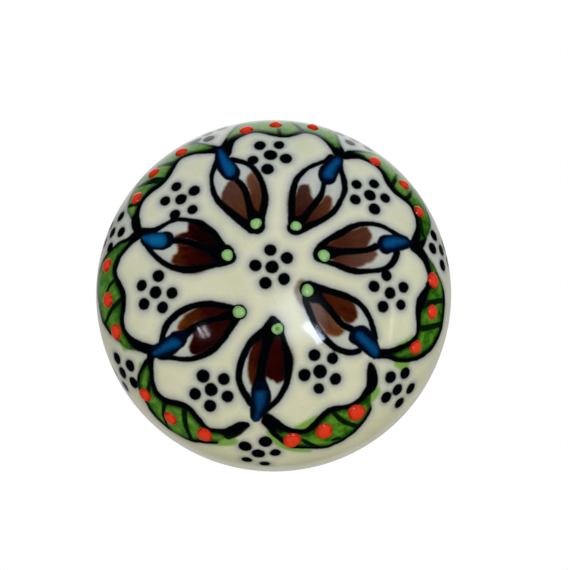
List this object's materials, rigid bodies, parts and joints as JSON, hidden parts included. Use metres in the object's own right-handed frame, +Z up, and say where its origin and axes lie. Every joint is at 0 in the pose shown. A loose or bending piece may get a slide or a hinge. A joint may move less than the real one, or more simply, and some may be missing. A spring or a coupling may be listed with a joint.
{
  "type": "cabinet knob",
  "caption": "Round glazed ceramic cabinet knob with a shallow domed painted face, rounded rim, waisted foot and a brass threaded insert in the back for a fixing screw.",
  "frame": {"origin": "centre of the mounting face, where the foot bears on the drawer front", "axes": "+Y along the knob's axis, out of the back towards the drawer front, so that the painted face looks along -Y; +Z up"},
  "size_m": [0.04, 0.0309, 0.04],
  "materials": {
    "glazed_ceramic": "glossy clear glaze over hand-painted ivory",
    "insert_brass": "turned, plain"
  },
  "bodies": {
    "root": {"ceramic_knob": "glazed_ceramic", "threaded_insert": "insert_brass"}
  },
  "joints": []
}
